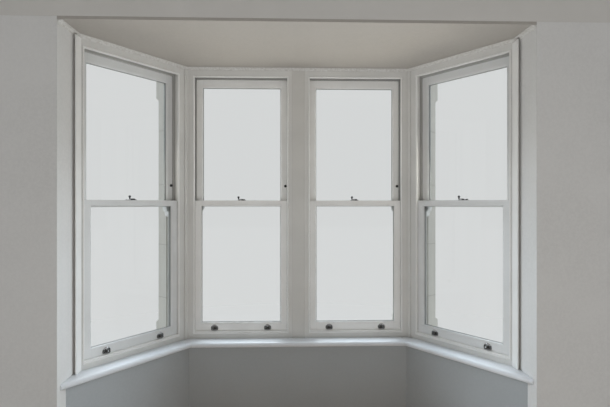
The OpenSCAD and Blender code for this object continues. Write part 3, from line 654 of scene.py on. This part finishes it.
def chrome(name, tone, highlight_tone):
    """Chrome with fine smears, in a dark tone as painted shade, and in a lighter tone as a painted highlight
    on the faces marked painted_highlight above the top of a lift's cup.
    """
    material, place = new_material(name)
    smear = place.noise(120, 3)
    painted_highlight = place.add("ShaderNodeAttribute", {"attribute_name": "painted_highlight"}, output="Fac")
    metal = (painted_highlight * place.axis("Z").fade(lift_foot + 0.0225, lift_foot + 0.0255)).mix(tone, highlight_tone)
    coat(place, (smear * 0.12).mix(metal, (0.05, 0.05, 0.05)), 0.12 + smear * 0.12,
         place.noise(500, 2), 0.00005, 0.0006, Metallic=1.0)
    return material


def turned(profile, sides=20):
    """A solid turned about Z, drawn up ring by ring from (height, radius) to the next."""
    (height, radius), *rest = profile
    only()
    bpy.ops.mesh.primitive_circle_add(vertices=sides, radius=radius, fill_type="NGON",
                                      location=(0, 0, height))
    piece = settle()
    bpy.ops.object.mode_set(mode="EDIT")
    bpy.ops.mesh.select_all(action="SELECT")
    for up, wide in rest:
        bpy.ops.mesh.extrude_region_move(TRANSFORM_OT_translate={"value": (0, 0, up - height)})
        bpy.ops.transform.resize(value=(wide / radius, wide / radius, 1), center_override=(0, 0, up))
        height, radius = up, wide
    close_up()
    return piece


def block(low, high):
    """A box from its lowest to its highest corner."""
    only()
    bpy.ops.mesh.primitive_cube_add(size=1, location=[(a + b) / 2 for a, b in zip(low, high)])
    piece = bpy.context.active_object
    piece.scale = [b - a for a, b in zip(low, high)]
    return settle()


def slotted_screw(spot, facing):
    """A round-headed screw with its slot, its head up or towards the room."""
    head = turned([(-0.001, 0.0029), (0.0006, 0.0029), (0.0012, 0.0024), (0.0016, 0.0012)], 14)
    slot = block((-0.004, -0.00035, 0.0009), (0.004, 0.00035, 0.003))
    cut = head.modifiers.new("slot", "BOOLEAN")
    cut.object = slot
    cut.operation = "DIFFERENCE"
    only(head)
    bpy.ops.object.modifier_apply(modifier="slot")
    bpy.data.objects.remove(slot)
    head.rotation_euler = (math.radians(90), 0, 0.6) if facing == "room" else (0, 0, 0.6)
    head.location = spot
    return settle()


def as_one(parts):
    """Join the parts of a fitting and smooth its round faces."""
    only(*parts)
    bpy.ops.object.join()
    bpy.ops.object.shade_smooth_by_angle(angle=math.radians(38))
    return bpy.context.active_object


plate = block((-plate_half, -plate_t, 0), (plate_half, 0, plate_h))
bpy.ops.object.mode_set(mode="EDIT")
pick(plate, "edges", lambda m, way: abs(way.y) > 0.9 and m.z > plate_h - 0.005)
bpy.ops.mesh.bevel(offset=0.0235, segments=9, affect="EDGES")
pick(plate, "edges", lambda m, way: abs(way.y) > 0.9 and m.z < 0.001 and abs(m.x) > 0.02)
bpy.ops.mesh.bevel(offset=0.004, segments=3, affect="EDGES")
pick(plate, "faces", lambda m, way: way.y < -0.9)
bpy.ops.mesh.bevel(offset=0.0007, segments=2, affect="EDGES")
close_up()
only()
bpy.ops.mesh.primitive_uv_sphere_add(segments=40, ring_count=20, radius=1, location=(0, cup_back, 0))
cup = bpy.context.active_object
cup.scale = (cup_r, cup_deep, cup_r)
settle()
bpy.ops.object.mode_set(mode="EDIT")
for spot, way in (((0, cup_back, 0), (0, 1, 0)), ((0, 0, 0), (0, 0, -1))):
    bpy.ops.mesh.select_all(action="SELECT")
    bpy.ops.mesh.bisect(plane_co=spot, plane_no=way, clear_outer=True)
close_up()
wall = cup.modifiers.new("wall", "SOLIDIFY")
wall.thickness = cup_wall
wall.offset = -1
wall.use_even_offset = True
only(cup)
bpy.ops.object.modifier_apply(modifier="wall")
screws = [slotted_screw((side * screw_off, -plate_t, screw_up), "room") for side in (-1, 1)]
# Where the painted highlight may fall: fully on the plate, half on the screws, not on the cup.
for piece, painted_highlight in ((plate, 1.0), (cup, 0.0), (screws[0], 0.5), (screws[1], 0.5)):
    mark(piece, "painted_highlight", painted_highlight)
lift = as_one([*screws, cup, plate])
# The dark chrome tone is painted shade, and the bright one is a painted highlight.
lift_metal = chrome("lift_chrome", (0.17, 0.17, 0.17), (0.78, 0.78, 0.79))
for window in window_at:
    for hand, side in (("left", -1), ("right", 1)):
        piece = copy_of(lift)
        at_window(piece, window, (side * lift_off, rail_face, lift_foot))
        hand_over(piece, f"lift_{window}_{hand}", lift_metal, "polished_chrome", "sash_lifts")
bpy.data.objects.remove(lift)


# The sash fasteners: one on each pair of meeting rails, cast in brass and chromed, their chrome darkened all
# over as painted shade.
# A cam with an upright knob swings on the lower sash's plate and hooks over the catch of the keep, which is
# screwed to the upper sash.
fastener_depth = 0.0225
fastener_foot = 1.816
base = block((-0.027, -0.011, 0), (0.027, 0.011, 0.003))
keep = block((-0.027, 0.0307, 0), (0.027, 0.0435, 0.003))
for piece, round_end in ((base, 0.009), (keep, 0.004)):
    only(piece)
    bpy.ops.object.mode_set(mode="EDIT")
    pick(piece, "edges", lambda m, way: abs(way.z) > 0.9)
    bpy.ops.mesh.bevel(offset=round_end, segments=5, affect="EDGES")
    pick(piece, "faces", lambda m, way: way.z > 0.9)
    bpy.ops.mesh.bevel(offset=0.0008, segments=2, affect="EDGES")
    close_up()
boss = turned([(0.002, 0.0088), (0.0072, 0.0088), (0.0092, 0.0078), (0.0103, 0.0045)])
boss.location.x = 0.009
settle()
arm = block((-0.0225, -0.0045, 0.0060), (0.009, 0.0045, 0.0110))
bpy.ops.object.mode_set(mode="EDIT")
pick(arm, "faces", lambda m, way: way.x < -0.9)
bpy.ops.transform.resize(value=(1, 0.72, 0.85), center_override=(-0.0225, 0, 0.0082))
bpy.ops.mesh.select_all(action="SELECT")
bpy.ops.mesh.bevel(offset=0.0011, segments=2, affect="EDGES")
close_up()
knob = turned([(0.0063, 0.0046), (0.0095, 0.0046), (0.0105, 0.0040), (0.0150, 0.0037), (0.0158, 0.0052),
               (0.0166, 0.0052), (0.0174, 0.0046), (0.0186, 0.0060), (0.0204, 0.0072), (0.0226, 0.0079),
               (0.0246, 0.0081), (0.0268, 0.0076), (0.0288, 0.0062), (0.0302, 0.0042), (0.0309, 0.0016)], 22)
knob.location.x = -0.02125
settle()
catch = block((0.004, 0.0307, 0.002), (0.0215, 0.0378, 0.0103))
bpy.ops.object.mode_set(mode="EDIT")
pick(catch, "edges", lambda m, way: abs(way.y) > 0.9 and m.x < 0.005 and m.z > 0.009)
bpy.ops.transform.translate(value=(0.003, 0, -0.003))
bpy.ops.mesh.select_all(action="SELECT")
bpy.ops.mesh.bevel(offset=0.0009, segments=2, affect="EDGES")
close_up()
screws = [slotted_screw(spot, "up") for spot in
          ((-0.012, -0.006, 0.003), (0.022, 0.0, 0.003), (-0.021, 0.0371, 0.003), (-0.004, 0.0371, 0.003))]
fastener = as_one([*screws, keep, boss, arm, knob, catch, base])
# A very dark chrome as painted shade; no face is marked for a painted highlight.
fastener_metal = chrome("fastener_chrome_metal", (0.075, 0.075, 0.08), (0.5, 0.5, 0.5))
for window in window_at:
    piece = copy_of(fastener)
    at_window(piece, window, (0, fastener_depth, fastener_foot))
    hand_over(piece, f"fastener_{window}", fastener_metal, "fastener_chrome", "sash_fasteners")
bpy.data.objects.remove(fastener)


# The sash stops: a turned button of black rubber with a hollow for its screw.
# One is screwed to each upper sash's right stile and stops the lower sash from sliding further up.
rubber, place = new_material("stop_rubber")
worn = place.noise(300, 2).mix((0.008, 0.008, 0.008), (0.02, 0.02, 0.02))
coat(place, worn, 0.7, place.noise(900, 2), 0.0001)
stop_off = 0.317
stop_face = 0.0535
stop_up = 1.922
button = turned([(-0.0004, 0.0095), (0.0018, 0.0095), (0.0026, 0.0087), (0.0085, 0.0079), (0.0104, 0.0072),
                 (0.0116, 0.0054), (0.0118, 0.0034), (0.0098, 0.0028)], 28)
button.rotation_euler = (math.radians(90), 0, 0)
settle()
only(button)
bpy.ops.object.shade_smooth_by_angle(angle=math.radians(38))
for window in window_at:
    piece = copy_of(button)
    at_window(piece, window, (stop_off, stop_face, stop_up))
    hand_over(piece, f"stop_{window}", rubber, "black_rubber", "sash_stops")
bpy.data.objects.remove(button)


# The stand for the pictures: a pale floor that fades into a pale surround, with soft lamps.
# Daylight comes in from the street side, and a weaker fill comes from the room.
only()
bpy.ops.mesh.primitive_plane_add(size=60, location=(0, 0, 0))
ground = bpy.context.active_object
ground.name = "stand_floor"
floor_paint, place = new_material("stand_floor_paint")
distance = place.add("ShaderNodeVectorMath", {"operation": "LENGTH"}, {0: place}, output="Value")
far_off = distance.fade(2.6, 5.0)
seen = place.add("ShaderNodeLightPath", output="Is Camera Ray")
seen = seen.highest(place.add("ShaderNodeLightPath", output="Is Transmission Ray"))
matt = place.add("ShaderNodeBsdfDiffuse", None, {"Color": (0.50, 0.48, 0.46)})
glow = place.add("ShaderNodeEmission", None, {"Color": (0.72, 0.72, 0.72), "Strength": 1.0})
top = place.add("ShaderNodeMixShader", None, {0: far_off * seen, 1: matt, 2: glow})
place.add("ShaderNodeOutputMaterial", None, {"Surface": top})
ground.data.materials.append(floor_paint)

world = bpy.data.worlds.new("surround")
bpy.context.scene.world = world
world.use_nodes = True
world.node_tree.nodes.clear()
sky = Socket(world.node_tree, None)
way = sky.add("ShaderNodeTexCoord", output="Generated").axis("Y").fade(-0.5, 0.6)
soft = way.mix((0.16, 0.158, 0.15), (0.32, 0.34, 0.37))
light = sky.add("ShaderNodeBackground", None, {"Color": soft, "Strength": 1.0})
plain = sky.add("ShaderNodeBackground", None, {"Color": (0.72, 0.72, 0.72), "Strength": 1.0})
seen = sky.add("ShaderNodeLightPath", output="Is Camera Ray")
both = sky.add("ShaderNodeMixShader", None, {0: seen, 1: light, 2: plain})
sky.add("ShaderNodeOutputWorld", None, {"Surface": both})


def lamp(name, kind, energy, tint, **settings):
    """A lamp of this kind, power and colour, with its other settings."""
    data = bpy.data.lights.new(name, kind)
    data.energy = energy
    data.color = tint
    for setting, value in settings.items():
        setattr(data, setting, value)
    holder = bpy.data.objects.new(name, data)
    bpy.context.scene.collection.objects.link(holder)
    return holder


# Daylight over the roof. Azimuth 0 comes from the street and 90 from the right.
for name, azimuth, elevation, strength, softness in (
        ("sky_front", 0, 60, 1.9, 25), ("sky_right_high", 52, 58, 0.75, 25),
        ("sky_left_high", -52, 58, 0.75, 25), ("sky_right", 78, 20, 1.9, 20), ("sky_left", -78, 20, 1.9, 20)):
    sun = lamp(name, "SUN", strength, (0.88, 0.94, 1.0), angle=math.radians(softness))
    sun.rotation_euler = (math.radians(elevation - 90), 0, math.radians(-azimuth))
    sun.location = (0, 0, 6)

# Daylight through the panes, cool and level from the lower ones, warmer from the upper ones.
for window, low_power, high_power, dip in (("side_left", 2.31, 1.85, 22), ("front_left", 1.485, 1.75, -4),
                                          ("front_right", 1.485, 1.65, -4), ("side_right", 2.035, 3.2, 17)):
    for sash, up, tall, out, tilt, power, tint in (
            ("lower", 1.358, 0.83, -0.004, 3, low_power, (0.62, 0.82, 1.0)),
            ("upper", 2.19, 0.74, 0.049, dip, high_power, (1.0, 0.955, 0.86))):
        pane_light = lamp(f"{sash}_pane_light_{window}", "AREA", power, tint, shape="RECTANGLE",
                          size=0.56, size_y=tall, spread=math.radians(150))
        at_window(pane_light, window, (0, out, up))
        pane_light.rotation_euler = (math.radians(tilt - 90), 0, window_at[window][1])
        pane_light.visible_camera = pane_light.visible_glossy = False

# A weaker, warmer fill from the room.
fill = lamp("room_fill", "AREA", 17.5, (1.0, 0.935, 0.86), shape="RECTANGLE", size=3.0, size_y=1.6)
fill.location = (0.5, -3.7, 1.0)
fill.rotation_euler = (math.radians(90), 0, math.radians(5.0))
fill.visible_camera = fill.visible_glossy = False

# The camera stands in the room, level, a little left of the middle, and looks out slightly to the right.
view = bpy.data.cameras.new("photo_view")
view.sensor_width = 36
view.lens = 25.97
camera = bpy.data.objects.new("photo_view", view)
bpy.context.scene.collection.objects.link(camera)
camera.location = (-0.0467, -2.927, 1.7945)
camera.rotation_euler = (math.radians(90), 0, math.radians(-1.7))
bpy.context.scene.camera = camera
bpy.context.scene.view_settings.view_transform = "Standard"
